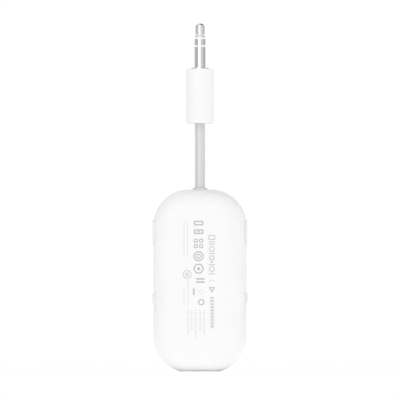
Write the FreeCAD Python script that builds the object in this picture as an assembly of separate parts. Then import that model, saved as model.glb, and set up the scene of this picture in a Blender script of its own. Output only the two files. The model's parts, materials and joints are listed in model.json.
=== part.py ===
"""A pocket bluetooth audio receiver: a pill-shaped housing, a short lead and a 3.5 mm stereo jack.

The receiver stands upright with the jack at the top. X runs across the housing, the printed back
faces -Y, and the origin is the middle of the flat foot under the housing. Everything is in millimetres.
"""
import FreeCAD, Part
import math
import os

# Housing
body_width = 29.3
body_depth = 12.4
body_top = 57.25
foot_cut = 0.6            # taken off the round bottom to make the flat foot at z = 0
top_corner_radius = 11.3     # of the outline seen from the back
bottom_corner_radius = 12.1
edge_radius = 6.0         # of the round from the back and front faces into the sides
wall = 1.3
seam_gap = 0.12           # shadow line between the two shells, round the side at y = 0
lip_inset = 0.65          # where the wall is shared between the shells' lips
lip_height = 0.8
lip_slack = 0.05
slip = 0.03               # clearance between pieces that are assembled one inside the other
into_wall = 0.3           # how far ribs and posts run into the wall they grow from
rib_thickness = 0.6
rib_slack = 0.1           # between a rib and the piece it holds

# Main board, parallel to the back face, with parts on both sides
board_inset = 2.5
board_back = 1.6          # y of the face towards the battery
board_front = 2.4         # y of the face towards the front button
board_top = 50.0
fixings_x = 7.6
fixing_low_z = 9.5
fixing_high_z = 47.0
post_radius = 1.35
locating_pin_radius = 0.5
locating_pin_ends = (1.3, 2.9)
screw_radius = 0.6
screw_hole_slack = 0.1
screw_head_radius = 1.15
screw_head_height = 0.6
screw_length = 3.2
screw_cross_half = (0.12, 0.7)
key_notch_slack = 0.5     # room round each side key where the board is cut back
leg_slot_slack = 0.1

# Flat components on the board: middle x, middle z, width, height, thickness
shield_place = (0, 20.5, 11, 11, 1.8)
shield_sheet = 0.15
shield_corner = 0.6
radio_chip_place = (-1, 21, 5, 5, 0.9)
crystal_place = (3.6, 17.5, 1.6, 2.0, 0.6)
antenna_place = (-1.9, 48.9, 5.2, 1.1, 0.8)
audio_chip_place = (-3.5, 33, 4, 4, 0.85)
charger_chip_place = (3.5, 11.5, 3, 3, 0.75)
inductor_place = (-3.5, 11.5, 2.5, 2.0, 1.0)
capacitor_size = (0.6, 1.0, 0.5)
capacitor_gap = 0.6
capacitor_row = (-8.5, 12, 5)         # first x, z, count, on the front
capacitor_column = (8.6, 17, 5)       # x, first z, count, on the front
capacitor_under_row = (-7.4, 43.2, 3)  # first x, z, count, on the back

# Battery
cell_half_width = 8.5
cell_z = (14.5, 39.5)
cell_front = 0.2
cell_edge = 1.2
pad_thickness = 0.3
pad_margin = (2, 3)       # how far the pad stays inside the cell's sides and ends
strip_margin = 1          # how far the strip stays inside the cell's sides
strip_height = 2.4        # protection board on top of the cell
strip_half_thickness = 0.4
battery_wire_x = 3.6
battery_wire_radius = 0.4
battery_wire_bend = 1.1
battery_wire_foot = 0.6   # above the foot of the strip
battery_wire_rise = 2.6
cradle_height = 2.2
cradle_side_z = (20, 34)
cradle_foot_half_width = 5

# USB-C receptacle, centred on the seam in the foot
port_face = 0.3           # z of its mouth, just inside the foot
port_depth = 7.3
port_width = 8.94
port_height = 3.2
port_sheet = 0.3
port_opening_slack = 0.15
port_base_height = 1.6
tongue_half_width = 3.35
tongue_half_thickness = 0.35
tongue_corner = 0.4
tongue_tip = 1.1
contact_pitch = 0.5
contacts_per_side = 12
contact_half_width = 0.12
contact_thickness = 0.05
contact_z = (1.6, 5.5)
leg_width = 0.9
leg_z = (2.9, 6.4)
leg_tip = 2.9

# Side keys, one on each side
key_z = 43.65
key_length = 7.9
key_width = 5.2
key_corner = 1.9
key_proud = 0.3
key_slack = 0.16
key_seat_half_width = 3.0  # the hole widens to this at the surface, on its long sides
key_seat_depth = 0.45
key_edge = 0.25
key_inner_x = 12.2
key_mark_depth = 0.15
key_mark_half = 0.9
key_mark_half_line = 0.16
tab_half_length = 5.0
tab_half_width = 1.4
tab_inset = 1.42
key_switch_x = (9.2, 11.4)
key_switch_half_length = 1.75
switch_half_depth = 1.2   # of every side switch towards the back, from y = 0
plunger_half = (0.6, 0.8)
plunger_reach = 0.4       # how far a plunger runs into its switch at rest
plunger_room = 0.4        # how much deeper its bore is
plunger_slack = 0.08

# Slide switches, one on each side
slot_z = (19.35, 24.6)
slot_half_width = 1.3
slot_corner = 0.5
surround_half_width = 3.0  # of a sunk outline round the slot
surround_z = (18.8, 25.0)
surround_line = (0.4, 0.15)  # its width on its long sides and at its ends
surround_corner = 0.6
surround_depth = 0.35
knob_z = (21.5, 24.5)
knob_half_width = 1.2
knob_proud = 0.38
knob_edge = 0.12
knob_corner = 0.4
groove_depth = 0.14
groove_half = 0.14
groove_pitch = 0.75
slide_travel = 2.0
shutter_inset = (0.65, 1.15)
shutter_half_width = 1.9
shutter_overlap = 0.5     # how far the shutter covers the wall past the slot, over its whole travel
pocket_inset = 0.58
pocket_slack = 0.2
fork_x = 12.1
fork_half_width = 1.0
fork_half_length = 1.1
peg_half = 0.5
peg_x = (10.9, 13.2)
peg_channel_slack = (0.3, 0.1, 0.2)   # behind, beside and past the ends of the peg's travel
slide_switch_x = (8.9, 11.3)
slide_switch_half_length = 3.3

# Front button and its switch
button_z = 38.0
button_radius = 4.5
button_slack = 0.12
button_top = 6.1
button_edge = 0.3
button_rim = 0.6          # between the edge and the finger hollow
button_dish = 0.35        # depth of the finger hollow
button_shell = 1.0
button_flange_radius = 5.3
button_flange_y = (3.95, 4.7)
button_post_radius = 1.3
front_switch_half = 2.25
front_switch_top = 3.4
front_plunger_radius = 0.9
front_plunger_top = 3.85

# Lights
light_x = 2.2
light_z = 29.5
light_radius = 0.7
light_flange_radius = 1.05
light_flange_y = (4.2, 4.85)
light_slack = 0.02
light_gap = 0.1           # between a light and its window
led_size = (1.6, 0.5, 0.8)

# Lead: one straight stretch from the housing to the plug
lead_radius = 1.6
lead_bore = 1.0
lead_z = (50.5, 82.0)
conductor_radius = 0.4
conductor_ring = 0.5
conductor_z = (46.1, 83.5)
collar_radius = 2.34
collar_z = (53.1, 57.77)
collar_flange_radius = 3.2
collar_flange_top = 54.5
collar_edge = 0.25
collar_rib_z = (52.2, 53.0)
collar_rib_half_width = 4.2
crimp_radius = 2.3
crimp_z = (50.7, 52.1)
terminal_half_width = 2.5
terminal_z = (45.4, 48.2)
terminal_back = -1.1

# Plug moulding
plug_radius = 4.34
plug_z = (77.95, 95.1)
plug_wall = 0.8
plug_edge = 0.15
plug_cap_thickness = 1.0
end_ring_height = 1.0
end_ring_sink = 0.1       # how far the end ring sits inside the cover

# Jack, a 3.5 mm three-pole plug
jack_radius = 1.75
shoulder_radius = 3.0
shoulder_height = 0.32
shoulder_fillet = 0.3
barrel_radius = 2.2
barrel_low = 88.0
sleeve_top = 102.0
ring_z = (102.6, 104.5)
tip_z = (105.1, 109.4)
tube_radii = (0.6, 0.95, 1.25, 1.4)   # rod, tip insulator, ring, ring insulator, from the axis outwards
tail_step = 1.2
bead_length = 0.8
tip_base_inset = 0.05
neck_radius = 1.32
neck_rise = 0.72          # above the tip's foot
waist_radius = 1.42
waist_rise = 0.92
bulge_radius = 1.49
tip_round_drop = (1.1, 0.42)
tip_round_inset = 0.23
tip_end_radius = 0.75


def vec(x, y, z):
    return FreeCAD.Vector(x, y, z)


x_axis = vec(1, 0, 0)
y_axis = vec(0, 1, 0)
z_axis = vec(0, 0, 1)
half_depth = body_depth / 2
inner_face = half_depth - wall


def box(x, y, z):
    """A box between two corners, each axis given as (low, high)."""
    return Part.makeBox(x[1] - x[0], y[1] - y[0], z[1] - z[0], vec(x[0], y[0], z[0]))


def around(middle, half):
    return (middle - half, middle + half)


def rod(radius, start, end):
    """A round rod between two points."""
    run = end - start
    return Part.makeCylinder(radius, run.Length, start, run)


def post(radius, x, z, y_low, y_high):
    """A round post that runs from front to back."""
    return rod(radius, vec(x, y_low, z), vec(x, y_high, z))


def upright(radius, z_low, z_high):
    """A round rod on the axis of the lead and jack."""
    return rod(radius, vec(0, 0, z_low), vec(0, 0, z_high))


def pill(centre, length_axis, length, width, depth):
    """A prism with a pill outline: length along length_axis, swept by the vector depth."""
    across = length_axis.cross(depth).normalize() * (width / 2)
    run = length_axis * ((length - width) / 2)
    tip = length_axis * (length / 2)
    outline = [
        Part.LineSegment(centre - run + across, centre + run + across).toShape(),
        Part.Arc(centre + run + across, centre + tip, centre + run - across).toShape(),
        Part.LineSegment(centre + run - across, centre - run - across).toShape(),
        Part.Arc(centre - run - across, centre - tip, centre - run + across).toShape(),
    ]
    return Part.Face(Part.Wire(outline)).extrude(depth)


def round_edges(block, axis, radius, wanted=lambda edge: True):
    """Round the straight edges of a block that run along one axis."""
    edges = [e for e in block.Edges if abs(e.tangentAt(e.FirstParameter).dot(axis)) > 0.999 and wanted(e)]
    return block.makeFillet(radius, edges)


def round_face(solid, axis, position, radius):
    """Round every edge of the flat face that lies at a position along an axis."""
    edges = [e for e in solid.Edges if all(abs(v.Point.dot(axis) - position) < 1e-4 for v in e.Vertexes)
             and abs(e.CenterOfMass.dot(axis) - position) < 1e-4]
    return solid.makeFillet(radius, edges)


def revolve(profile):
    """Turn a closed profile of edges in the XZ plane about the Z axis."""
    return Part.Face(Part.Wire(profile)).revolve(vec(0, 0, 0), z_axis, 360)


def line(start, end):
    """A straight edge between two (radius, z) points."""
    return Part.LineSegment(vec(start[0], 0, start[1]), vec(end[0], 0, end[1])).toShape()


def arc(start, middle, end):
    """A round edge through three (radius, z) points."""
    return Part.Arc(*[vec(p[0], 0, p[1]) for p in (start, middle, end)]).toShape()


def fuse(solids):
    whole = solids[0]
    for solid in solids[1:]:
        whole = whole.fuse(solid)
    return whole.removeSplitter()


def other_side(shape):
    """The same piece on the other side of the housing."""
    return shape.mirror(vec(0, 0, 0), x_axis)


def slab(inset, y_low, y_high):
    """The housing's outline, moved inwards by inset, as a flat slab."""
    half_width = body_width / 2 - inset
    block = box((-half_width, half_width), (y_low, y_high), (inset - foot_cut, body_top - inset))
    middle_z = block.CenterOfMass.z
    block = round_edges(block, y_axis, bottom_corner_radius - inset, lambda e: e.CenterOfMass.z < middle_z)
    return round_edges(block, y_axis, top_corner_radius - inset, lambda e: e.CenterOfMass.z > middle_z)


def pebble(inset):
    """The housing's rounded form, moved inwards by inset, or outwards where inset is negative."""
    half = half_depth - inset
    form = slab(inset, -half, half)
    for face in (-half, half):
        form = round_face(form, y_axis, face, edge_radius - inset)
    return form


outer_form = pebble(0)
cavity = pebble(wall)
everywhere = (-200, 200)
above_foot = (0, 200)
to_the_front = (0, 200)


# ---- openings in the housing ----

def key_block(slack):
    """The key's rounded outline, widened by slack, as a block that runs out through the wall."""
    block = box((key_inner_x, body_width), around(0, key_width / 2 + slack),
                around(key_z, key_length / 2 + slack))
    return round_edges(block, x_axis, key_corner + slack)


def key_hole():
    seat = box((key_inner_x, body_width), around(0, key_seat_half_width),
               around(key_z, key_length / 2 + key_slack))
    seat = round_edges(seat, x_axis, key_corner + key_seat_half_width - key_width / 2)
    return key_block(key_slack).fuse(seat.cut(pebble(key_seat_depth)))


def slide_slot():
    """The slot of a slide knob, the pocket behind it for the shutter, and the outline round it."""
    slot = box((fork_x, body_width), around(0, slot_half_width), slot_z)
    slot = round_edges(slot, x_axis, slot_corner)
    low, high = shutter_span()
    pocket = box((fork_x, body_width), around(0, shutter_half_width + pocket_slack),
                 (low - slide_travel - pocket_slack, high + pocket_slack))
    return fuse([slot, pocket.common(pebble(pocket_inset)), slot_surround()])


def slot_surround():
    """The sunk outline round the slot, in the housing's outer face."""
    at_sides, at_ends = surround_line
    outline = box((fork_x, body_width), around(0, surround_half_width), surround_z)
    middle = box((fork_x, body_width), around(0, surround_half_width - at_sides),
                 (surround_z[0] + at_ends, surround_z[1] - at_ends))
    outline = round_edges(outline, x_axis, surround_corner)
    middle = round_edges(middle, x_axis, surround_corner - at_ends)
    return outline.cut(middle).cut(pebble(surround_depth))


def port_opening():
    width = port_width + 2 * port_opening_slack
    height = port_height + 2 * port_opening_slack
    return pill(vec(0, 0, -wall), x_axis, width, height, z_axis * 3 * wall)


def collar_hole():
    return upright(collar_radius + slip, collar_flange_top, body_top + wall)


def openings():
    sides = [key_hole(), slide_slot()]
    sides += [other_side(cut) for cut in sides]
    return Part.makeCompound(sides + [port_opening(), collar_hole()])


# ---- housing shells ----

def housing_wall():
    return outer_form.common(box(everywhere, everywhere, above_foot)).cut(cavity)


def collar_rib(y):
    """A rib that holds the collar's flange down, growing from one shell."""
    rib = box(around(0, collar_rib_half_width), y, collar_rib_z)
    return rib.common(pebble(wall - into_wall)).cut(upright(collar_radius + rib_slack, *collar_rib_z))


def battery_cradle():
    """Ribs on the back wall, one at each side of the cell and one under it."""
    y = (-inner_face - into_wall, cradle_height - inner_face)
    near = cell_half_width + rib_slack
    side_rib = box((near, near + rib_thickness), y, cradle_side_z)
    foot_z = (cell_z[0] - rib_slack - rib_thickness, cell_z[0] - rib_slack)
    return [side_rib, other_side(side_rib), box(around(0, cradle_foot_half_width), y, foot_z)]


def back_shell():
    shell = housing_wall().common(box(everywhere, (-half_depth, -seam_gap / 2), everywhere))
    lip = pebble(lip_inset + lip_slack).cut(cavity)
    lip = lip.common(box(everywhere, around(0, lip_height), above_foot))
    solids = [shell, lip, collar_rib((-half_depth, -seam_gap / 2))]
    return fuse(solids + battery_cradle()).cut(openings())


def front_shell():
    shell = housing_wall().common(box(everywhere, (seam_gap / 2, half_depth), everywhere))
    rebate = pebble(lip_inset).common(box(everywhere, (0, lip_height), everywhere))
    solids = [shell.cut(rebate), collar_rib((lip_height + rib_slack, half_depth))]
    for x, z in screw_points() + locating_points():
        solids.append(post(post_radius, x, z, board_front, inner_face + into_wall))
    for x, z in locating_points():
        solids.append(post(locating_pin_radius, x, z, *locating_pin_ends))
    shell = fuse(solids).cut(openings())
    through_face = (inner_face - wall, half_depth + wall)
    shell = shell.cut(post(button_radius + button_slack, 0, button_z, *through_face))
    for x in (-light_x, light_x):
        shell = shell.cut(post(light_radius + light_slack, x, light_z, *through_face))
    for x, z in screw_points():
        shell = shell.cut(post(screw_radius + slip, x, z, 0, screw_tip() + screw_hole_slack))
    return shell


def screw_points():
    return [(-fixings_x, fixing_high_z), (fixings_x, fixing_low_z)]


def locating_points():
    return [(fixings_x, fixing_high_z), (-fixings_x, fixing_low_z)]


def screw_tip():
    return board_back + screw_length


# ---- main board and what is soldered to it ----

def main_board():
    board = slab(board_inset, board_back, board_front)
    board = board.common(box(everywhere, everywhere, (0, board_top)))
    cuts = []
    for x, z in screw_points():
        cuts.append(post(screw_radius + screw_hole_slack, x, z, 0, half_depth))
    for x, z in locating_points():
        cuts.append(post(locating_pin_radius + slip, x, z, 0, half_depth))
    for x, z in port_legs():
        cuts.append(box(around(x, port_sheet / 2 + leg_slot_slack), to_the_front,
                        around(z, leg_width / 2 + leg_slot_slack)))
    notch = box((key_inner_x - key_notch_slack, body_width), to_the_front,
                around(key_z, key_length / 2 + key_notch_slack))
    return board.cut(Part.makeCompound(cuts + [notch, other_side(notch)]))


def board_screws():
    screws = []
    thin, wide = screw_cross_half
    recess_y = (0, board_back - screw_head_height / 2)
    for x, z in screw_points():
        shank = post(screw_radius, x, z, board_back, screw_tip())
        head = post(screw_head_radius, x, z, board_back - screw_head_height, board_back)
        for half_x, half_z in ((thin, wide), (wide, thin)):
            head = head.cut(box(around(x, half_x), recess_y, around(z, half_z)))
        screws.append(fuse([shank, head]))
    return Part.makeCompound(screws)


def on_front(x, z, width, height, thickness):
    """A flat component on the board's front face, centred at x and z."""
    return box(around(x, width / 2), (board_front, board_front + thickness), around(z, height / 2))


def on_back(x, z, width, height, thickness):
    """A flat component on the board's back face, centred at x and z."""
    return box(around(x, width / 2), (board_back - thickness, board_back), around(z, height / 2))


def shield_can():
    x, z, width, height, thickness = shield_place
    outside = on_front(x, z, width, height, thickness)
    inside = on_front(x, z, width - 2 * shield_sheet, height - 2 * shield_sheet, thickness - shield_sheet)
    return round_edges(outside, y_axis, shield_corner).cut(inside)


def chip_capacitors():
    short, long, thickness = capacitor_size
    pitch = short + capacitor_gap
    x, z, count = capacitor_row
    capacitors = [on_front(x + pitch * i, z, short, long, thickness) for i in range(count)]
    x, z, count = capacitor_column
    capacitors += [on_front(x, z + pitch * i, long, short, thickness) for i in range(count)]
    x, z, count = capacitor_under_row
    capacitors += [on_back(x + pitch * i, z, short, long, thickness) for i in range(count)]
    return Part.makeCompound(capacitors)


# ---- battery ----

def battery_cell():
    cell = box(around(0, cell_half_width), (pad_front(), cell_front), cell_z)
    return round_edges(cell, z_axis, cell_edge)


def pad_front():
    return pad_thickness - inner_face


def cell_middle():
    return (pad_front() + cell_front) / 2


def battery_pad():
    beside, past_end = pad_margin
    z = (cell_z[0] + past_end, cell_z[1] - past_end)
    return box(around(0, cell_half_width - beside), (-inner_face, pad_front()), z)


def protection_strip():
    z = (cell_z[1], cell_z[1] + strip_height)
    return box(around(0, cell_half_width - strip_margin), around(cell_middle(), strip_half_thickness), z)


def battery_wire(side):
    """A wire that leaves the strip upwards and turns forwards to the board."""
    x = side * battery_wire_x
    y = cell_middle() + strip_half_thickness + battery_wire_radius
    foot = vec(x, y, cell_z[1] + battery_wire_foot)
    turn = foot + z_axis * battery_wire_rise
    centre = turn + y_axis * battery_wire_bend
    quarter = math.sqrt(0.5) * battery_wire_bend
    mid_bend = centre + vec(0, -quarter, quarter)
    bend_end = centre + z_axis * battery_wire_bend
    end = vec(x, board_back, bend_end.z)
    path = Part.Wire([
        Part.LineSegment(foot, turn).toShape(),
        Part.Arc(turn, mid_bend, bend_end).toShape(),
        Part.LineSegment(bend_end, end).toShape(),
    ])
    section = Part.Wire([Part.makeCircle(battery_wire_radius, foot, z_axis)])
    return path.makePipeShell([section], True, True)


# ---- USB-C receptacle ----

def port_legs():
    return [(side * (port_width / 2 - port_sheet / 2), z) for side in (-1, 1) for z in leg_z]


def usb_shell():
    outside = pill(vec(0, 0, port_face), x_axis, port_width, port_height, z_axis * port_depth)
    inside = pill(vec(0, 0, 0), x_axis, port_width - 2 * port_sheet,
                  port_height - 2 * port_sheet, z_axis * (port_face + port_depth - port_sheet))
    legs = [box(around(x, port_sheet / 2), (0, leg_tip), around(z, leg_width / 2)) for x, z in port_legs()]
    return fuse([outside] + legs).cut(inside)


def usb_tongue():
    base_top = port_face + port_depth - port_sheet
    base = pill(vec(0, 0, base_top - port_base_height), x_axis, port_width - 2 * port_sheet - slip,
                port_height - 2 * port_sheet - slip, z_axis * port_base_height)
    tongue_z = (tongue_tip, base_top - port_base_height / 2)
    tongue = box(around(0, tongue_half_width), around(0, tongue_half_thickness), tongue_z)
    return fuse([base, round_edges(tongue, y_axis, tongue_corner)])


def usb_contacts():
    strips = []
    first = -contact_pitch * (contacts_per_side - 1) / 2
    for face in (-1, 1):
        inner = face * tongue_half_thickness
        y = sorted((inner, inner + face * contact_thickness))
        for i in range(contacts_per_side):
            x = around(first + i * contact_pitch, contact_half_width)
            strips.append(box(x, y, contact_z))
    return Part.makeCompound(strips)


# ---- side keys ----

def key_cap(mark_bars):
    """A key that follows the housing's curve, with a tab behind the wall at each end."""
    cap = round_rim(key_block(0).common(pebble(-key_proud)), key_edge)
    tab = box((key_inner_x, body_width), around(0, tab_half_width), around(key_z, tab_half_length))
    cap = fuse([cap, tab.common(pebble(tab_inset))])
    below_mark = pebble(key_mark_depth - key_proud)
    for bar in mark_bars:
        cap = cap.cut(bar.cut(below_mark))
    return cap


def round_rim(cap, radius):
    """Round the edges of a cap on the right side where it meets its curved outer face."""
    return cap.makeFillet(radius, [e for e in cap.Edges if e.BoundBox.XMin > body_width / 2 - wall])


def mark_bar(y_half, z_half):
    return box((key_inner_x, body_width), around(0, y_half), around(key_z, z_half))


def minus_mark():
    return [mark_bar(key_mark_half, key_mark_half_line)]


def plus_mark():
    return minus_mark() + [mark_bar(key_mark_half_line, key_mark_half)]


def key_plunger():
    return box((key_switch_x[1] - plunger_reach, key_inner_x), around(0, plunger_half[0]),
               around(key_z, plunger_half[1]))


def key_switch():
    base = box(key_switch_x, (-switch_half_depth, board_back), around(key_z, key_switch_half_length))
    bore_x = (key_switch_x[1] - plunger_reach - plunger_room, body_width)
    bore_y, bore_z = [half + plunger_slack for half in plunger_half]
    bore = box(bore_x, around(0, bore_y), around(key_z, bore_z))
    return base.cut(bore)


# ---- slide switches ----

def shutter_span():
    """The shutter hides the slot at both ends of its travel."""
    return (slot_z[0] - shutter_overlap, slot_z[1] + slide_travel + shutter_overlap)


def knob_middle():
    return (knob_z[0] + knob_z[1]) / 2


def slide_knob():
    """A knob with grip grooves, on a curved shutter that runs behind the wall, with a fork inside."""
    outwards = (fork_x, body_width)
    outside, inside = [pebble(inset) for inset in shutter_inset]
    shutter = box(outwards, around(0, shutter_half_width), shutter_span()).common(outside).cut(inside)
    knob = round_edges(box(outwards, around(0, knob_half_width), knob_z), x_axis, knob_corner)
    knob = round_rim(knob.common(pebble(-knob_proud)), knob_edge).cut(inside)
    fork = box(outwards, around(0, fork_half_width), around(knob_middle(), fork_half_length))
    whole = fuse([shutter, knob, fork.common(outside)])
    peg_seat = box((0, peg_x[1] + slip), around(0, body_depth), around(knob_middle(), peg_half + slip))
    whole = whole.cut(peg_seat)
    under_groove = pebble(groove_depth - knob_proud)
    for step in (-1, 0, 1):
        groove_z = around(knob_middle() + groove_pitch * step, groove_half)
        whole = whole.cut(box(outwards, around(0, body_depth), groove_z).cut(under_groove))
    return whole


def slide_peg():
    return box(peg_x, around(0, peg_half), around(knob_middle(), peg_half))


def slide_switch():
    middle = knob_middle() - slide_travel / 2
    base = box(slide_switch_x, (-switch_half_depth, board_back), around(middle, slide_switch_half_length))
    behind, beside, past_end = peg_channel_slack
    channel = box((peg_x[0] - behind, body_width), around(0, peg_half + beside),
                  around(middle, slide_travel / 2 + peg_half + past_end))
    return base.cut(channel)


# ---- front button and lights ----

def button_cap():
    """A round button with a finger hollow, a flange behind the wall and a post to its switch."""
    cap = post(button_radius, 0, button_z, button_flange_y[0], button_top)
    cap = round_face(cap, y_axis, button_top, button_edge)
    rim = button_radius - button_rim
    dish_radius = (rim ** 2 + button_dish ** 2) / (2 * button_dish)
    dish = Part.makeSphere(dish_radius, vec(0, button_top - button_dish + dish_radius, button_z))
    flange = post(button_flange_radius, 0, button_z, *button_flange_y)
    hollow = post(button_radius - button_shell, 0, button_z, *button_flange_y)
    stem = post(button_post_radius, 0, button_z, front_plunger_top, button_flange_y[1])
    return fuse([cap.fuse(flange).cut(dish).cut(hollow), stem])


def front_plunger():
    return post(front_plunger_radius, 0, button_z, front_switch_top - plunger_reach, front_plunger_top)


def front_switch():
    width = 2 * front_switch_half
    base = on_front(0, button_z, width, width, front_switch_top - board_front)
    bore_floor = front_switch_top - plunger_reach - plunger_room
    return base.cut(post(front_plunger_radius + plunger_slack, 0, button_z, bore_floor, half_depth))


def light_window(side):
    """A clear pipe from a light on the board to the front face."""
    x = side * light_x
    pipe = post(light_radius, x, light_z, board_front + led_size[1] + light_gap, half_depth)
    return fuse([pipe, post(light_flange_radius, x, light_z, *light_flange_y)])


def light(side):
    width, thickness, height = led_size
    return on_front(side * light_x, light_z, width, height, thickness)


# ---- lead ----

def lead_collar():
    """A flanged bush that the two shells grip round the lead."""
    neck = round_face(upright(collar_radius, *collar_z), z_axis, collar_z[1], collar_edge)
    flange = upright(collar_flange_radius, collar_z[0], collar_flange_top)
    return fuse([neck, flange]).cut(upright(lead_radius + slip, *collar_z))


def lead_jacket():
    return upright(lead_radius, *lead_z).cut(upright(lead_bore, *lead_z))


def lead_crimp():
    return upright(crimp_radius, *crimp_z).cut(upright(lead_radius + slip, *crimp_z))


def conductor_axes():
    angles = [math.radians(90 + 120 * i) for i in range(3)]
    return [vec(conductor_ring * math.cos(a), conductor_ring * math.sin(a), 0) for a in angles]


def conductor(foot):
    return rod(conductor_radius, foot + z_axis * conductor_z[0], foot + z_axis * conductor_z[1])


def lead_terminal():
    block = box(around(0, terminal_half_width), (terminal_back, board_back), terminal_z)
    for foot in conductor_axes():
        seat = foot + z_axis * conductor_z[0]
        block = block.cut(rod(conductor_radius + slip, seat, foot + z_axis * terminal_z[1]))
    return block


# ---- plug ----

def plug_cover():
    cover = round_face(upright(plug_radius, *plug_z), z_axis, plug_z[0], plug_edge)
    cover = round_face(cover, z_axis, plug_z[1], plug_edge)
    cover = cover.cut(upright(plug_radius - plug_wall, plug_z[0], plug_z[1] - plug_cap_thickness))
    return cover.cut(upright(barrel_radius + slip, *plug_z))


def plug_end_ring():
    radius = plug_radius - plug_wall - slip
    ring = upright(radius, plug_z[0] + end_ring_sink, plug_z[0] + end_ring_height)
    return ring.cut(upright(lead_radius + slip, *plug_z))


def plug_inner_moulding():
    top = plug_z[1] - plug_cap_thickness
    block = upright(plug_radius - plug_wall - slip, plug_z[0] + end_ring_height, top)
    lead_seat = upright(lead_radius + slip, plug_z[0], lead_z[1])
    tail_room = upright(jack_radius, lead_z[1], barrel_low)
    barrel_seat = upright(barrel_radius + slip, barrel_low, top)
    for room in (lead_seat, tail_room, barrel_seat):
        block = block.cut(room)
    return block


def solder_beads():
    ends = [foot + z_axis * conductor_z[1] for foot in conductor_axes()]
    return Part.makeCompound([rod(conductor_radius, end, end + z_axis * bead_length) for end in ends])


def tail_low(step):
    """Each tube of the jack stops a step short of the one inside it."""
    return conductor_z[1] + bead_length + slip + tail_step * step


def jack_sleeve():
    shoulder_low = plug_z[1]
    shoulder_top = shoulder_low + shoulder_height
    bore = tube_radii[3] + slip
    fillet = shoulder_fillet
    bend = fillet * (1 - math.sqrt(0.5))
    profile = [
        line((bore, barrel_low), (barrel_radius, barrel_low)),
        line((barrel_radius, barrel_low), (barrel_radius, shoulder_low)),
        line((barrel_radius, shoulder_low), (shoulder_radius, shoulder_low)),
        line((shoulder_radius, shoulder_low), (shoulder_radius, shoulder_top)),
        line((shoulder_radius, shoulder_top), (jack_radius + fillet, shoulder_top)),
        arc((jack_radius + fillet, shoulder_top), (jack_radius + bend, shoulder_top + bend),
            (jack_radius, shoulder_top + fillet)),
        line((jack_radius, shoulder_top + fillet), (jack_radius, sleeve_top)),
        line((jack_radius, sleeve_top), (bore, sleeve_top)),
        line((bore, sleeve_top), (bore, barrel_low)),
    ]
    return revolve(profile)


def collared_tube(bore, tube, collar_low, collar_high, tail):
    """A tube about the axis with a collar as wide as the jack at its top."""
    tube_part = upright(tube, tail, collar_high)
    collar = upright(jack_radius, collar_low, collar_high)
    return fuse([tube_part, collar]).cut(upright(bore, tail, collar_high))


def ring_insulator():
    return collared_tube(tube_radii[2] + slip, tube_radii[3], sleeve_top, ring_z[0], tail_low(2))


def jack_ring():
    return collared_tube(tube_radii[1] + slip, tube_radii[2], ring_z[0], ring_z[1], tail_low(1.5))


def tip_insulator():
    return collared_tube(tube_radii[0] + slip, tube_radii[1], ring_z[1], tip_z[0], tail_low(1))


def jack_tip():
    """A cone, a sharp neck, a long bulge that rounds over to a small flat end, and the rod inside."""
    low, high = tip_z
    rod_foot = (tube_radii[0], tail_low(0))
    rod_top = (tube_radii[0], low)
    base = (jack_radius - tip_base_inset, low)
    neck = (neck_radius, low + neck_rise)
    waist = (waist_radius, low + waist_rise)
    bulge = (bulge_radius, high - tip_round_drop[0])
    shoulder = (bulge_radius - tip_round_inset, high - tip_round_drop[1])
    end = (tip_end_radius, high)
    profile = [
        line((0, tail_low(0)), rod_foot),
        line(rod_foot, rod_top),
        line(rod_top, base),
        line(base, neck),
        line(neck, waist),
        line(waist, bulge),
        arc(bulge, shoulder, end),
        line(end, (0, high)),
        line((0, high), (0, tail_low(0))),
    ]
    return revolve(profile)


def pieces():
    """Every piece of the receiver, by name."""
    yield "front_shell", front_shell()
    yield "back_shell", back_shell()
    yield "main_board", main_board()
    yield "board_screws", board_screws()
    yield "shield_can", shield_can()
    yield "radio_chip", on_front(*radio_chip_place)
    yield "crystal", on_front(*crystal_place)
    yield "antenna", on_front(*antenna_place)
    yield "audio_chip", on_back(*audio_chip_place)
    yield "charger_chip", on_back(*charger_chip_place)
    yield "power_inductor", on_back(*inductor_place)
    yield "chip_capacitors", chip_capacitors()

    yield "battery_cell", battery_cell()
    yield "battery_pad", battery_pad()
    yield "battery_protection_strip", protection_strip()
    yield "battery_wire_negative", battery_wire(-1)
    yield "battery_wire_positive", battery_wire(1)

    yield "usb_shell", usb_shell()
    yield "usb_tongue", usb_tongue()
    yield "usb_contacts", usb_contacts()

    yield "volume_up_key", key_cap(plus_mark())
    yield "volume_down_key", other_side(key_cap(minus_mark()))
    for name, place in (("volume_up", lambda shape: shape), ("volume_down", other_side)):
        yield name + "_plunger", place(key_plunger())
        yield name + "_switch", place(key_switch())
    for name, place in (("mode", lambda shape: shape), ("power", other_side)):
        yield name + "_slide_knob", place(slide_knob())
        yield name + "_slide_peg", place(slide_peg())
        yield name + "_slide_switch", place(slide_switch())

    yield "front_button", button_cap()
    yield "front_button_plunger", front_plunger()
    yield "front_button_switch", front_switch()
    for name, side in (("left", -1), ("right", 1)):
        yield "light_window_" + name, light_window(side)
        yield "light_" + name, light(side)

    yield "lead_collar", lead_collar()
    yield "lead_crimp_ring", lead_crimp()
    yield "lead_terminal", lead_terminal()
    yield "lead_jacket", lead_jacket()
    for name, foot in zip(("ground", "left", "right"), conductor_axes()):
        yield "lead_conductor_" + name, conductor(foot)

    yield "plug_cover", plug_cover()
    yield "plug_end_ring", plug_end_ring()
    yield "plug_inner_moulding", plug_inner_moulding()
    yield "plug_solder_beads", solder_beads()
    yield "jack_sleeve", jack_sleeve()
    yield "jack_ring_insulator", ring_insulator()
    yield "jack_ring", jack_ring()
    yield "jack_tip_insulator", tip_insulator()
    yield "jack_tip", jack_tip()


os.makedirs("parts", exist_ok=True)
for piece_name, piece in pieces():
    piece.exportStep("parts/" + piece_name + ".step")
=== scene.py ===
import itertools
import json
import math

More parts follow.
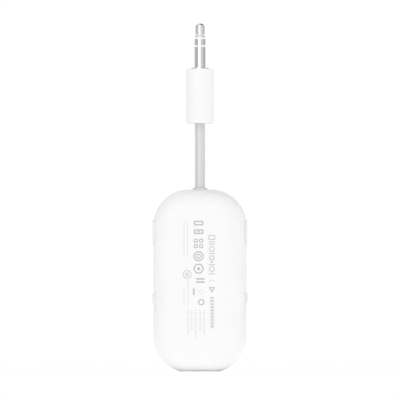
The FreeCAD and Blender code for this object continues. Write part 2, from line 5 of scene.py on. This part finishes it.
import bmesh
import bpy
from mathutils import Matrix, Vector


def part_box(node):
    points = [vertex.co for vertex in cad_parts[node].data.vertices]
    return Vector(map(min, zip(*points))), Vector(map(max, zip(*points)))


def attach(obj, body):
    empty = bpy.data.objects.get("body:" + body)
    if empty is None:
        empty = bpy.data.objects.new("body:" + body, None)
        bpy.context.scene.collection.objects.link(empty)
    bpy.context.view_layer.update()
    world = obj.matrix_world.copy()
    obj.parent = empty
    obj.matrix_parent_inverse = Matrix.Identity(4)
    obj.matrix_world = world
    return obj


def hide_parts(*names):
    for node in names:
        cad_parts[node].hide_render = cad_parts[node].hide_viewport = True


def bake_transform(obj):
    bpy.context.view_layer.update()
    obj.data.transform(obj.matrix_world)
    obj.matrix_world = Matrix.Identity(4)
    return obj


# Looks for a pocket wireless audio receiver: a white pill-shaped housing, a short grey lead
# and a stereo plug. The frame is the part's own, in metres: +Z up the lead, X across the
# housing and -Y out of the plain back face.

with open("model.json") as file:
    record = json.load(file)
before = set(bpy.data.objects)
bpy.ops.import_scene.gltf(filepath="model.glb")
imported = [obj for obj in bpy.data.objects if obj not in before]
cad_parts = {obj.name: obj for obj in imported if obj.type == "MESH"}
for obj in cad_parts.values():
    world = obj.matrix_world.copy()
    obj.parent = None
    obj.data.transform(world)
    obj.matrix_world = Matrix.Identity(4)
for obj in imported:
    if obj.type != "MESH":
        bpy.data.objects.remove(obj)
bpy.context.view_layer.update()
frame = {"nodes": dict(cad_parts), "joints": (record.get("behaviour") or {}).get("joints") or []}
nodes = frame["nodes"]

MM = 0.001
REST = "rest_place"        # the attribute that keeps the texture in place as a piece bends


def new_object(name, data):
    piece = bpy.data.objects.new(name, data)
    bpy.context.scene.collection.objects.link(piece)
    return piece


def grey(value):
    return (value, value, value)


def fade(tree, value, start, end, low, high):
    """A value that goes from low to high as another goes from start to end."""
    node = tree.nodes.new("ShaderNodeMapRange")
    node.inputs["From Min"].default_value = start
    node.inputs["From Max"].default_value = end
    node.inputs["To Min"].default_value = low
    node.inputs["To Max"].default_value = high
    tree.links.new(value, node.inputs["Value"])
    return node.outputs["Result"]


def colour_ramp(tree, factor, stops):
    """A colour that changes with a factor; each stop is (factor, (red, green, blue))."""
    node = tree.nodes.new("ShaderNodeValToRGB")
    while len(node.color_ramp.elements) < len(stops):
        node.color_ramp.elements.new(0.5)
    for element, (position, colour) in zip(node.color_ramp.elements, stops):
        element.position = position
        element.color = (*colour, 1)
    tree.links.new(factor, node.inputs["Fac"])
    return node.outputs["Color"]


# ---------------------------------------------------------------- materials

class Look:
    """A procedural material whose textures are laid out in millimetres over the part.

    Its uniform values are given as the shader's own sockets.
    """

    def __init__(self, name, rest_attribute=None, **sockets):
        self.material = bpy.data.materials.new(name)
        self.material.use_nodes = True
        self.tree = self.material.node_tree
        self.tree.nodes.clear()
        output = self.add("ShaderNodeOutputMaterial")
        self.surface = self.add("ShaderNodeBsdfPrincipled")
        self.link(self.surface.outputs["BSDF"], output.inputs["Surface"])
        for socket, value in sockets.items():
            self.surface.inputs[socket.replace("_", " ")].default_value = value
        if rest_attribute:
            source = self.add("ShaderNodeAttribute")
            source.attribute_name = rest_attribute
            place = source.outputs["Vector"]
        else:
            place = self.add("ShaderNodeTexCoord").outputs["Object"]
        self.in_mm = self.scaled(place, (1 / MM, 1 / MM, 1 / MM))

    def add(self, kind):
        return self.tree.nodes.new(kind)

    def link(self, value, socket):
        self.tree.links.new(value, socket)

    def scaled(self, vector, scale):
        mapping = self.add("ShaderNodeMapping")
        mapping.inputs["Scale"].default_value = scale
        self.link(vector, mapping.inputs["Vector"])
        return mapping.outputs["Vector"]

    def noise(self, per_mm, detail=3, stretch=(1, 1, 1)):
        texture = self.add("ShaderNodeTexNoise")
        texture.inputs["Scale"].default_value = per_mm
        texture.inputs["Detail"].default_value = detail
        self.link(self.scaled(self.in_mm, stretch), texture.inputs["Vector"])
        return texture.outputs["Fac"]

    def cells(self, per_mm):
        texture = self.add("ShaderNodeTexVoronoi")
        texture.inputs["Scale"].default_value = per_mm
        self.link(self.in_mm, texture.inputs["Vector"])
        return texture.outputs["Distance"]

    def ramp(self, factor, *stops):
        return colour_ramp(self.tree, factor, stops)

    def between(self, factor, low, high, start=0.3, end=0.7):
        return fade(self.tree, factor, start, end, low, high)

    def colour(self, value):
        self.link(value, self.surface.inputs["Base Color"])

    def roughness(self, value):
        self.link(value, self.surface.inputs["Roughness"])

    def relief(self, *layers):
        """Fine relief; each layer is (height factor, depth in mm), one over the other."""
        normal = None
        for height, depth in layers:
            node = self.add("ShaderNodeBump")
            node.inputs["Strength"].default_value = 1
            node.inputs["Distance"].default_value = depth * MM
            self.link(height, node.inputs["Height"])
            if normal:
                self.link(normal, node.inputs["Normal"])
            normal = node.outputs["Normal"]
        self.link(normal, self.surface.inputs["Normal"])


def moulded(name, shade, variation, rough, grain, depth, **sockets):
    """Injection-moulded plastic: faint flow clouds, uneven gloss and a fine tool-marked grain.

    The grain is so many per mm and so deep in mm, over waves that are much broader and deeper.
    """
    clouds_per_mm, gloss_per_mm, waves_per_mm, wave_depth = 0.09, 0.6, 0.12, 6 * depth
    look = Look(name, **sockets)
    darker = tuple(c * (1 - variation) for c in shade)
    look.colour(look.ramp(look.noise(clouds_per_mm, 4), (0.35, darker), (0.65, shade)))
    look.roughness(look.between(look.noise(gloss_per_mm, 4), *rough))
    look.relief((look.noise(grain, 2), depth), (look.noise(waves_per_mm, 1), wave_depth))
    return look


LINE_STRETCH = {
    "X": (6, 0.3, 0.3),
    "Z": (0.3, 0.3, 6),
    None: (1, 1, 8),
}


def metal(name, shade, variation, rough, turned, depth):
    """Plated or rolled metal, with lathe lines round the given axis or plain rolling scratches."""
    stain_per_mm, gloss_per_mm, lines_per_mm, pits_per_mm = 0.35, 1.5, 3.0, 9.0
    look = Look(name, Metallic=1.0)
    darker = tuple(c * (1 - variation) for c in shade)
    look.colour(look.ramp(look.noise(stain_per_mm, 4), (0.3, darker), (0.7, shade)))
    look.roughness(look.between(look.noise(gloss_per_mm, 4), *rough))
    lines = look.noise(lines_per_mm, 3, LINE_STRETCH[turned])
    look.relief((lines, depth), (look.noise(pits_per_mm, 2), depth / 2))
    return look


def housing_white():
    return moulded("housing_white_moulded", grey(0.828), variation=0.010, rough=(0.30, 0.38),
                   grain=9.0, depth=0.0012, IOR=1.49)


def key_white():
    return moulded("key_white_moulded", grey(0.828), variation=0.012, rough=(0.29, 0.38),
                   grain=11.0, depth=0.001, IOR=1.49)


def plug_white():
    return moulded("plug_white_moulded", grey(0.83), variation=0.010, rough=(0.32, 0.42),
                   grain=9.0, depth=0.0012, IOR=1.49)


def lead_grey():
    """A soft, slightly satin elastomer with faint streaks along the lead."""
    look = Look("lead_grey_elastomer", REST, IOR=1.55, Metallic=0.3)
    streaks = look.noise(0.8, 4, (1, 1, 0.06))
    look.colour(look.ramp(streaks, (0.3, grey(0.62)), (0.7, grey(0.65))))
    look.roughness(look.between(look.noise(1.2, 4), 0.34, 0.44))
    look.relief((look.noise(8.0, 3, (1, 1, 0.15)), 0.0035), (look.noise(14.0, 2), 0.002))
    return look


def collar_grey():
    return moulded("collar_grey_elastomer", grey(0.62), variation=0.03, rough=(0.48, 0.58),
                   grain=10.0, depth=0.003, IOR=1.5)


def jack_nickel():
    return metal("jack_nickel_plated", (0.80, 0.795, 0.785), variation=0.02, rough=(0.10, 0.16),
                 turned="Z", depth=0.0004)


def insulator_white():
    return moulded("insulator_white_moulded", grey(0.82), variation=0.015, rough=(0.29, 0.36),
                   grain=12.0, depth=0.001, IOR=1.5)


def inner_plastic():
    return moulded("inner_plastic_moulded", grey(0.42), variation=0.06, rough=(0.42, 0.58),
                   grain=7.0, depth=0.004, IOR=1.5)


def light_clear():
    look = Look("light_clear_frosted", IOR=1.49, Transmission_Weight=0.75)
    look.colour(look.ramp(look.noise(1.2, 3), (0.3, grey(0.84)), (0.7, grey(0.9))))
    look.roughness(look.between(look.noise(4.0, 3), 0.29, 0.38))
    look.relief((look.noise(12.0, 2), 0.0015))
    return look


def light_chip():
    look = Look("light_chip_phosphor", IOR=1.5)
    dome = look.cells(1.4)
    look.colour(look.ramp(dome, (0.15, (0.85, 0.72, 0.22)), (0.55, (0.86, 0.84, 0.74))))
    look.roughness(look.between(look.noise(3.0, 3), 0.3, 0.5))
    look.relief((look.noise(10.0, 2), 0.003))
    return look


def board_green():
    """Solder mask over copper tracks, which show as slightly raised, lighter lines."""
    look = Look("board_green_solder_mask", IOR=1.55)
    tracks = look.add("ShaderNodeTexBrick")
    tracks.inputs["Scale"].default_value = 0.55
    tracks.inputs["Mortar Size"].default_value = 0.035
    tracks.inputs["Mortar Smooth"].default_value = 0.3
    tracks.inputs["Color1"].default_value = (0.008, 0.105, 0.035, 1)
    tracks.inputs["Color2"].default_value = (0.011, 0.12, 0.042, 1)
    tracks.inputs["Mortar"].default_value = (0.045, 0.27, 0.09, 1)
    turn = look.add("ShaderNodeMapping")
    turn.inputs["Rotation"].default_value = (math.radians(90), 0, 0)
    look.link(look.in_mm, turn.inputs["Vector"])
    look.link(turn.outputs["Vector"], tracks.inputs["Vector"])
    look.colour(tracks.outputs["Color"])
    look.roughness(look.between(look.noise(1.5, 3), 0.22, 0.38))
    look.relief((tracks.outputs["Fac"], 0.02), (look.noise(6.0, 2), 0.002))
    return look


def chip_black():
    look = Look("chip_black_epoxy", IOR=1.52)
    look.colour(look.ramp(look.noise(9.0, 4), (0.35, grey(0.012)), (0.65, grey(0.026))))
    look.roughness(look.between(look.noise(2.0, 3), 0.45, 0.65))
    look.relief((look.noise(14.0, 3), 0.004))
    return look


def switch_black():
    return moulded("switch_black_moulded", grey(0.022), variation=0.25, rough=(0.35, 0.5),
                   grain=10.0, depth=0.003, IOR=1.5)


def peg_white():
    return moulded("peg_white_acetal", grey(0.70), variation=0.03, rough=(0.34, 0.46),
                   grain=9.0, depth=0.002, IOR=1.48)


def capacitor_tan():
    """Unglazed ceramic with a fine speckle."""
    look = Look("capacitor_tan_ceramic", IOR=1.6)
    look.colour(look.ramp(look.noise(5.0, 4), (0.3, (0.30, 0.20, 0.11)), (0.7, (0.42, 0.30, 0.18))))
    look.roughness(look.between(look.noise(3.0, 3), 0.4, 0.6))
    look.relief((look.noise(11.0, 3), 0.004))
    return look


def cell_foil():
    """A pouch cell's crinkled silver laminate."""
    look = Look("cell_foil_laminate", Metallic=0.85)
    look.colour(look.ramp(look.noise(0.3, 4), (0.3, grey(0.58)), (0.7, grey(0.68))))
    look.roughness(look.between(look.noise(0.8, 4), 0.28, 0.42))
    look.relief((look.noise(0.35, 3), 0.12), (look.cells(0.5), 0.03), (look.noise(6.0, 2), 0.002))
    return look


def foam_pad():
    look = Look("foam_pad_open_cell", IOR=1.4)
    pores = look.cells(3.5)
    look.colour(look.ramp(pores, (0.1, grey(0.06)), (0.5, grey(0.13))))
    look.roughness(look.between(pores, 0.8, 0.95))
    look.relief((pores, 0.05))
    return look


def wire_cover(name, shade):
    return moulded(name, shade, variation=0.08, rough=(0.32, 0.45),
                   grain=8.0, depth=0.002, IOR=1.5)


def solder():
    return metal("solder_tin", (0.66, 0.66, 0.67), variation=0.12, rough=(0.18, 0.34),
                 turned=None, depth=0.004)


def steel():
    return metal("steel_rolled", (0.60, 0.60, 0.61), variation=0.06, rough=(0.24, 0.36),
                 turned=None, depth=0.001)


def gold():
    return metal("gold_plated", (0.94, 0.72, 0.33), variation=0.05, rough=(0.14, 0.24),
                 turned=None, depth=0.0006)


def brass():
    return metal("brass_turned", (0.78, 0.60, 0.30), variation=0.08, rough=(0.2, 0.34),
                 turned="Z", depth=0.001)


def copper():
    return metal("copper_drawn", (0.85, 0.47, 0.31), variation=0.1, rough=(0.22, 0.36),
                 turned="X", depth=0.001)


def wire_red():
    return wire_cover("wire_red_cover", (0.45, 0.015, 0.012))


def wire_black():
    return wire_cover("wire_black_cover", grey(0.018))


def wire_white():
    return wire_cover("wire_white_cover", grey(0.66))


MAKERS = {maker.__name__: maker for maker in (
    housing_white, key_white, plug_white, collar_grey, jack_nickel, insulator_white, inner_plastic,
    light_clear, light_chip, board_green, chip_black, switch_black, peg_white, capacitor_tan, cell_foil,
    foam_pad, solder, steel, gold, brass, copper, wire_red, wire_black, wire_white,
)}
LEAD_PIECES = ("lead_jacket", "lead_conductor_ground", "lead_conductor_left", "lead_conductor_right")

finishes = {}
slot_of = {name: node.material_slots[0].material.name for name, node in nodes.items()}


def finish(slot):
    """The one material of a slot, made the first time that it is asked for."""
    if slot not in finishes:
        finishes[slot] = MAKERS[slot]().material
    return finishes[slot]


for node_name in sorted(nodes):
    if node_name not in LEAD_PIECES:
        for place in nodes[node_name].material_slots:
            place.material = finish(slot_of[node_name])


# ---------------------------------------------------------------- the lead

SIDES = 64                 # round the lead
RING_STEP = 0.25 * MM      # along it, so that it bends smoothly
LEAD_BORE = 1.0 * MM       # the radius of the room for its conductors

hinges = {joint["name"]: Vector(joint["pos_m"]) for joint in frame["joints"] if joint["type"] == "hinge"}
low_hinge = hinges["lead_bend_front_back"]
high_hinge = hinges["lead_bend_side"]
lead_middle = (low_hinge.z + high_hinge.z) / 2


def tube(name, axis_x, axis_y, outer, inner, z_low, z_high):
    """A round tube, or a round rod if inner is nothing, along Z, closed at both ends."""
    shape = bmesh.new()
    steps = max(2, math.ceil((z_high - z_low) / RING_STEP))
    heights = [z_low + (z_high - z_low) * i / steps for i in range(steps + 1)]

    def ring(radius, z):
        angles = [2 * math.pi * k / SIDES for k in range(SIDES)]
        circle = [(axis_x + radius * math.cos(a), axis_y + radius * math.sin(a), z) for a in angles]
        return [shape.verts.new(place) for place in circle]

    def wall(radius):
        rings = [ring(radius, z) for z in heights]
        for below, above in zip(rings, rings[1:]):
            for k in range(SIDES):
                shape.faces.new((below[k], below[k - 1], above[k - 1], above[k])).smooth = True
        return rings

    outside = wall(outer)
    if inner:
        inside = wall(inner)
        for end in (0, -1):
            for k in range(SIDES):
                shape.faces.new((outside[end][k], outside[end][k - 1], inside[end][k - 1], inside[end][k]))
    else:
        shape.faces.new(outside[0])
        shape.faces.new(outside[-1])
    bmesh.ops.recalc_face_normals(shape, faces=shape.faces)
    for edge in shape.edges:
        edge.smooth = all(face.smooth for face in edge.link_faces)
    mesh = bpy.data.meshes.new(name)
    shape.to_mesh(mesh)
    shape.free()
    rest = mesh.attributes.new(REST, "FLOAT_VECTOR", "POINT")
    for vertex, value in zip(mesh.vertices, rest.data):
        value.vector = vertex.co
    return new_object(name, mesh)


def bending(node_name, material, bore=None):
    """Stands for one node of the lead with two halves, split halfway between its two hinges."""
    low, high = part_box(node_name)
    centre = (low + high) / 2
    radius = (high.x - low.x) / 2
    spans = (("lower", low.z, lead_middle, "housing", "lead", low_hinge),
             ("upper", lead_middle, high.z, "lead", "plug", high_hinge))
    for half, z_low, z_high, body_a, body_b, hinge in spans:
        piece = tube(f"{node_name}_{half}", centre.x, centre.y, radius, bore, z_low, z_high)
        piece.data.materials.append(material)
        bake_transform(piece)
        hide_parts(node_name)


bending("lead_jacket", lead_grey().material, LEAD_BORE)
for conductor in LEAD_PIECES[1:]:
    bending(conductor, finish(slot_of[conductor]))


# ---------------------------------------------------------------- print on the back

INK_HEIGHT = 0.014 * MM    # proud of the face
INK_SINK = 0.004 * MM      # into the face, so that no light gets between
ROUND_SIDES = 48
CORNER_STEP = 15           # degrees between the points of a rounded corner
BAR_ROUNDING = 0.45        # of a bar's shorter side
FRAME_ROUNDING = 0.22      # of a frame's shorter side
LEAST_ROUNDING = 0.02      # in mm, at a frame's inner corners

back_face_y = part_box("back_shell")[0].y


def rounded_corners(x, z, width, height, radius):
    """The outline of a rectangle with rounded corners, round from its +x, +z corner."""
    points = []
    for side_x, side_z, first in ((1, 1, 0), (-1, 1, 90), (-1, -1, 180), (1, -1, 270)):
        centre_x = x + side_x * (width / 2 - radius)
        centre_z = z + side_z * (height / 2 - radius)
        for degrees in range(first, first + 90 + 1, CORNER_STEP):
            angle = math.radians(degrees)
            points.append((centre_x + radius * math.cos(angle), centre_z + radius * math.sin(angle)))
    return points


class Print:
    """Ink laid on the plain back face; every shape is a thin closed prism.

    Places are x and z, in millimetres.
    """

    def __init__(self, name):
        self.name = name
        self.shape = bmesh.new()

    def loop(self, outline, y):
        return [self.shape.verts.new((x * MM, y, z * MM)) for x, z in outline]

    def prism(self, outline, hole=None):
        """A prism from an outline, with an optional hole that has as many corners as the outline."""
        faces = self.shape.faces
        near = self.loop(outline, back_face_y - INK_HEIGHT)
        far = self.loop(outline, back_face_y + INK_SINK)
        for k in range(len(outline)):
            faces.new((near[k - 1], near[k], far[k], far[k - 1]))
        if not hole:
            faces.new(near)
            faces.new(far)
            return
        near_hole = self.loop(hole, back_face_y - INK_HEIGHT)
        far_hole = self.loop(hole, back_face_y + INK_SINK)
        for k in range(len(outline)):
            faces.new((near_hole[k], near_hole[k - 1], far_hole[k - 1], far_hole[k]))
            faces.new((near[k - 1], near_hole[k - 1], near_hole[k], near[k]))
            faces.new((far[k], far_hole[k], far_hole[k - 1], far[k - 1]))

    def polygon(self, x, z, radius, sides, turn=0.0, line=None):
        """A regular polygon, filled, or as an outline of the given line width."""
        def corners(r):
            angles = [turn + 2 * math.pi * k / sides for k in range(sides)]
            return [(x + r * math.cos(a), z + r * math.sin(a)) for a in angles]
        hole = corners(radius - line / math.cos(math.pi / sides)) if line else None
        self.prism(corners(radius), hole)

    def ring(self, x, z, radius, line):
        self.polygon(x, z, radius, ROUND_SIDES, line=line)

    def dot(self, x, z, radius):
        self.polygon(x, z, radius, ROUND_SIDES)

    def bar(self, x, z, width, height):
        self.prism(rounded_corners(x, z, width, height, min(width, height) * BAR_ROUNDING))

    def frame(self, x, z, width, height, line):
        """A rectangular outline with rounded outer and inner corners."""
        outer = min(width, height) * FRAME_ROUNDING
        inner = max(outer - line, LEAST_ROUNDING)
        outline = rounded_corners(x, z, width, height, outer)
        self.prism(outline, rounded_corners(x, z, width - 2 * line, height - 2 * line, inner))

    def dashes(self, x, z_top, z_bottom, width, lengths, gap):
        """A row of short bars down the face, whose lengths repeat."""
        z = z_top
        for length in itertools.cycle(lengths):
            if z - length < z_bottom:
                return
            self.bar(x, z - length / 2, width, length)
            z -= length + gap

    def done(self, material):
        bmesh.ops.recalc_face_normals(self.shape, faces=self.shape.faces)
        mesh = bpy.data.meshes.new(self.name)
        self.shape.to_mesh(mesh)
        self.shape.free()
        mesh.materials.append(material)
        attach(new_object(self.name, mesh), "housing")


def ink(name, shade):
    """Pad-printed ink: slightly uneven cover, a little duller than the plastic under it."""
    look = Look(name, IOR=1.5)
    cover = look.noise(6.0, 4)
    look.colour(look.ramp(cover, (0.25, grey(shade * 0.94)), (0.75, grey(shade * 1.04))))
    look.roughness(look.between(look.noise(3.0, 3), 0.42, 0.56))
    look.relief((look.noise(16.0, 2), 0.002))
    return look.material


symbol_ink = ink("print_ink_grey", 0.47)
badge_ink = ink("print_ink_pale", 0.54)
faint_ink = ink("print_ink_faint", 0.68)

# Abstract marks in upright columns, in millimetres.

LINE = 0.4                 # of the symbols
STROKE = 0.25              # of the long row
SYMBOL_X = -0.45
FRAME_X = SYMBOL_X + 0.03
LOW_SYMBOL_X = 0.15
ROW_X = 3.7
BADGE_X = -4.0


def print_symbols():
    symbols = Print("back_print_symbols")
    for z in (46.5, 43.8):
        symbols.frame(FRAME_X, z, width=3.0, height=1.5, line=LINE)
    symbols.bar(FRAME_X, 43.8, width=1.2, height=0.3)
    for x in (SYMBOL_X - 0.82, SYMBOL_X + 0.82):
        for z in (40.1 - 0.85, 40.1 + 0.85):
            symbols.frame(x, z, width=1.25, height=1.25, line=0.32)
    symbols.ring(SYMBOL_X, 36.1, radius=1.6, line=LINE)
    symbols.ring(SYMBOL_X, 36.1, radius=0.78, line=0.34)
    symbols.polygon(SYMBOL_X, 32.2, radius=1.75, sides=6, line=LINE)
    symbols.dot(SYMBOL_X, 32.2, radius=0.5)
    for z in (29.0, 28.0):
        symbols.bar(LOW_SYMBOL_X, z, width=2.7, height=0.5)
    symbols.bar(SYMBOL_X - 1.5, 25.0, width=0.5, height=2.1)
    symbols.ring(LOW_SYMBOL_X + 0.25, 21.7, radius=1.0, line=0.36)
    symbols.done(symbol_ink)


def print_long_row():
    row = Print("back_print_long_row")
    row.frame(ROW_X, 42.0, width=2.1, height=1.5, line=STROKE)
    for z in (40.6, 39.9, 37.0, 33.5, 30.6):
        row.bar(ROW_X, z, width=2.0, height=STROKE)
    for z in (38.4, 32.1):
        row.ring(ROW_X, z, radius=0.92, line=STROKE)
    row.polygon(ROW_X, 35.6, radius=1.0, sides=4, turn=math.radians(45), line=STROKE)
    row.dot(ROW_X, 34.3, radius=0.3)
    row.done(symbol_ink)


def print_short_row():
    row = Print("back_print_short_row")
    for x in (ROW_X - 0.4, ROW_X + 0.4):
        row.dot(x, 28.5, radius=0.16)
    row.polygon(ROW_X, 25.8, radius=1.2, sides=3, turn=math.radians(30), line=0.32)
    for step in range(5):
        z = 23.1 - 2.0 * step
        row.bar(ROW_X + 0.1, z, width=1.35, height=0.34)
        row.ring(ROW_X + 0.1, z - 1.0, radius=0.5, line=0.26)
    row.done(symbol_ink)


def print_fine_rows():
    """Rows of dashes beside the symbols, each (x, top, bottom), and under them, each (x, bottom)."""
    rows = Print("back_print_fine_rows")
    beside = ((-5.0, 47.0, 36.6), (-3.9, 47.0, 35.6), (-5.0, 26.0, 20.4), (-3.7, 28.6, 20.4))
    under = ((-3.75, 11.4), (-2.6, 12.4), (-1.3, 10.0), (0.05, 12.2), (1.3, 10.8))
    for x, top, bottom in beside:
        rows.dashes(x, top, bottom, width=0.42, lengths=(0.5, 0.3, 0.42, 0.62), gap=0.2)
    for x, bottom in under:
        rows.dashes(x, 19.3, bottom, width=0.42, lengths=(0.46, 0.66, 0.3), gap=0.2)
    rows.ring(0.5, 25.0, radius=0.75, line=0.16)
    rows.done(faint_ink)


def print_badge():
    badge = Print("back_print_badge")
    badge.ring(BADGE_X, 30.4, radius=1.35, line=0.26)
    badge.ring(BADGE_X, 30.4, radius=0.6, line=0.3)
    badge.done(badge_ink)


print_symbols()
print_long_row()
print_short_row()
print_fine_rows()
print_badge()


# ---------------------------------------------------------------- studio

FLOOR_GLOW = 0.38          # a backlit floor, so shadows on it stay faint
PAINTED_SHADOW_GLOW = 0.04          # the same in the painted contact shadow just under the foot
PAINTED_SHADOW_HALF = (6.4, 2.9)     # of the spot under the foot, in mm, where the floor's light is masked to paint a contact shadow
PAINTED_SHADOW_FADE = (1.0, 2.1)     # from dim to full glow, in multiples of that spot: the painted shadow's soft edge


def floor_material():
    """Pale and matt; its glow is masked by position under the foot, a painted contact shadow where the
    object stands.
    """
    look = Look("floor_pale", Specular_IOR_Level=0.0, Emission_Color=(1, 1, 1, 1))
    # Painted shadow: the glow is cut in an oval spot round the foot, whatever the light does.
    painted_shadow_reach = look.add("ShaderNodeVectorMath")
    painted_shadow_reach.operation = "LENGTH"
    look.link(look.scaled(look.in_mm, (1 / PAINTED_SHADOW_HALF[0], 1 / PAINTED_SHADOW_HALF[1], 0)), painted_shadow_reach.inputs[0])
    glow = look.between(painted_shadow_reach.outputs["Value"], PAINTED_SHADOW_GLOW, FLOOR_GLOW, *PAINTED_SHADOW_FADE)
    look.link(glow, look.surface.inputs["Emission Strength"])
    look.colour(look.ramp(look.noise(0.004, 3), (0.3, grey(0.80)), (0.7, grey(0.82))))
    look.roughness(look.between(look.noise(0.02, 3), 0.7, 0.8))
    return look.material


FLOOR_HALF = 12.0          # in metres, so that its edge is out of sight
floor_mesh = bpy.data.meshes.new("floor")
floor_corners = ((-1, -1), (1, -1), (1, 1), (-1, 1))
floor_mesh.from_pydata([(x * FLOOR_HALF, y * FLOOR_HALF, 0) for x, y in floor_corners], [], [(0, 1, 2, 3)])
floor_mesh.materials.append(floor_material())
new_object("floor", floor_mesh)

# The room's brightness round the object, from the way that its front looks (+Y), through -X,
# the camera's side (-Y) and +X, to +Y again: a white wall behind the camera, and greyer sides.
ROOM_RAMP = (
    (0.00, 1.00), (0.11, 0.60), (0.26, 0.43), (0.38, 0.46), (0.41, 1.50),
    (0.505, 1.50), (0.535, 0.72), (0.70, 0.56), (0.78, 0.38), (0.90, 0.52), (1.00, 1.00),
)
ROOM_STRENGTH = 1.16
TOP_LIGHT = 0.85
TOP_FADE = (0.45, 0.9)      # the height of a direction where the walls start and stop giving way to the top
FLAG_DIRECTION = (0.30, 0.36, 0.88)
FLAG_ANGLES = (20, 33)      # degrees from its middle to where it starts and stops fading
FLAG_STRENGTH = 0.05
BACKDROP_STRENGTH = 1.02    # what the camera sees past the floor


def room_colour(sky, split):
    """The walls round the object, under one plain top light."""
    toward_camera = sky.nodes.new("ShaderNodeMath")
    toward_camera.operation = "MULTIPLY"
    toward_camera.inputs[1].default_value = -1
    sky.links.new(split.outputs["Y"], toward_camera.inputs[0])
    turn = sky.nodes.new("ShaderNodeMath")
    turn.operation = "ARCTAN2"
    sky.links.new(split.outputs["X"], turn.inputs[0])
    sky.links.new(toward_camera.outputs[0], turn.inputs[1])
    share = fade(sky, turn.outputs[0], -math.pi, math.pi, 0, 1)
    walls = colour_ramp(sky, share, [(position, grey(value)) for position, value in ROOM_RAMP])
    ceiling = sky.nodes.new("ShaderNodeMix")
    ceiling.data_type = "RGBA"
    wall_colour, top_colour = [socket for socket in ceiling.inputs if socket.type == "RGBA"]
    top_colour.default_value = (*grey(TOP_LIGHT), 1)
    sky.links.new(walls, wall_colour)
    sky.links.new(fade(sky, split.outputs["Z"], *TOP_FADE, 0, 1), ceiling.inputs["Factor"])
    return [socket for socket in ceiling.outputs if socket.type == "RGBA"][0]


def room_strength(sky, direction):
    """The room's strength, cut by a dark flag that the jack's tip reflects."""
    flag = sky.nodes.new("ShaderNodeVectorMath")
    flag.operation = "DOT_PRODUCT"
    flag.inputs[1].default_value = Vector(FLAG_DIRECTION).normalized()
    sky.links.new(direction, flag.inputs[0])
    inner, outer = (math.cos(math.radians(degrees)) for degrees in FLAG_ANGLES)
    return fade(sky, flag.outputs["Value"], outer, inner, ROOM_STRENGTH, FLAG_STRENGTH)


def studio_world():
    world = bpy.data.worlds.new("studio")
    world.use_nodes = True
    sky = world.node_tree
    sky.nodes.clear()
    direction = sky.nodes.new("ShaderNodeTexCoord").outputs["Generated"]
    split = sky.nodes.new("ShaderNodeSeparateXYZ")
    sky.links.new(direction, split.inputs["Vector"])
    room = sky.nodes.new("ShaderNodeBackground")
    sky.links.new(room_colour(sky, split), room.inputs["Color"])
    sky.links.new(room_strength(sky, direction), room.inputs["Strength"])
    backdrop = sky.nodes.new("ShaderNodeBackground")
    backdrop.inputs["Color"].default_value = (1, 1, 1, 1)
    backdrop.inputs["Strength"].default_value = BACKDROP_STRENGTH
    either = sky.nodes.new("ShaderNodeMixShader")
    path = sky.nodes.new("ShaderNodeLightPath")
    sky.links.new(path.outputs["Is Camera Ray"], either.inputs["Fac"])
    sky.links.new(room.outputs["Background"], either.inputs[1])
    sky.links.new(backdrop.outputs["Background"], either.inputs[2])
    output = sky.nodes.new("ShaderNodeOutputWorld")
    sky.links.new(either.outputs["Shader"], output.inputs["Surface"])
    return world


bpy.context.scene.world = studio_world()
bpy.context.scene.view_settings.view_transform = "Standard"
bpy.context.scene.view_settings.look = "None"

LIGHT_AIM = Vector((0, 0, 0.05))


def softbox(name, place, side, watts):
    """A square soft light that shines on the object and doesn't show in it."""
    lamp = bpy.data.lights.new(name, "AREA")
    lamp.shape = "RECTANGLE"
    lamp.size = side
    lamp.size_y = side
    lamp.energy = watts
    holder = new_object(name, lamp)
    holder.location = place
    holder.rotation_euler = (LIGHT_AIM - Vector(place)).to_track_quat("-Z", "Y").to_euler()
    holder.visible_camera = False
    holder.visible_glossy = False


softbox("key_softbox", (-0.7, -0.9, 0.9), 0.6, 2.2)
softbox("fill_softbox", (1.0, 0.1, 0.35), 0.5, 2.2)
softbox("rear_softbox", (0.5, 1.1, 0.6), 0.6, 2.5)

VIEW_WIDTH = 0.1258        # how much of the object's plane the frame takes in
AIM = Vector((0, 0, 0.0539))
CAMERA_DISTANCE = 2.0
CAMERA_HEIGHT = 0.0015     # just over the floor, so it looks slightly up at the plug
SENSOR_WIDTH = 36
CLIP = (0.05, 100)

eye = bpy.data.cameras.new("camera")
eye.sensor_width = SENSOR_WIDTH
eye.lens = SENSOR_WIDTH * CAMERA_DISTANCE / VIEW_WIDTH
eye.clip_start, eye.clip_end = CLIP
camera = new_object("camera", eye)
rise = AIM.z - CAMERA_HEIGHT
back = Vector((0, -math.sqrt(CAMERA_DISTANCE ** 2 - rise ** 2), -rise)).normalized()
camera.location = AIM + back * CAMERA_DISTANCE
camera.rotation_euler = (-back).to_track_quat("-Z", "Y").to_euler()
bpy.context.scene.camera = camera
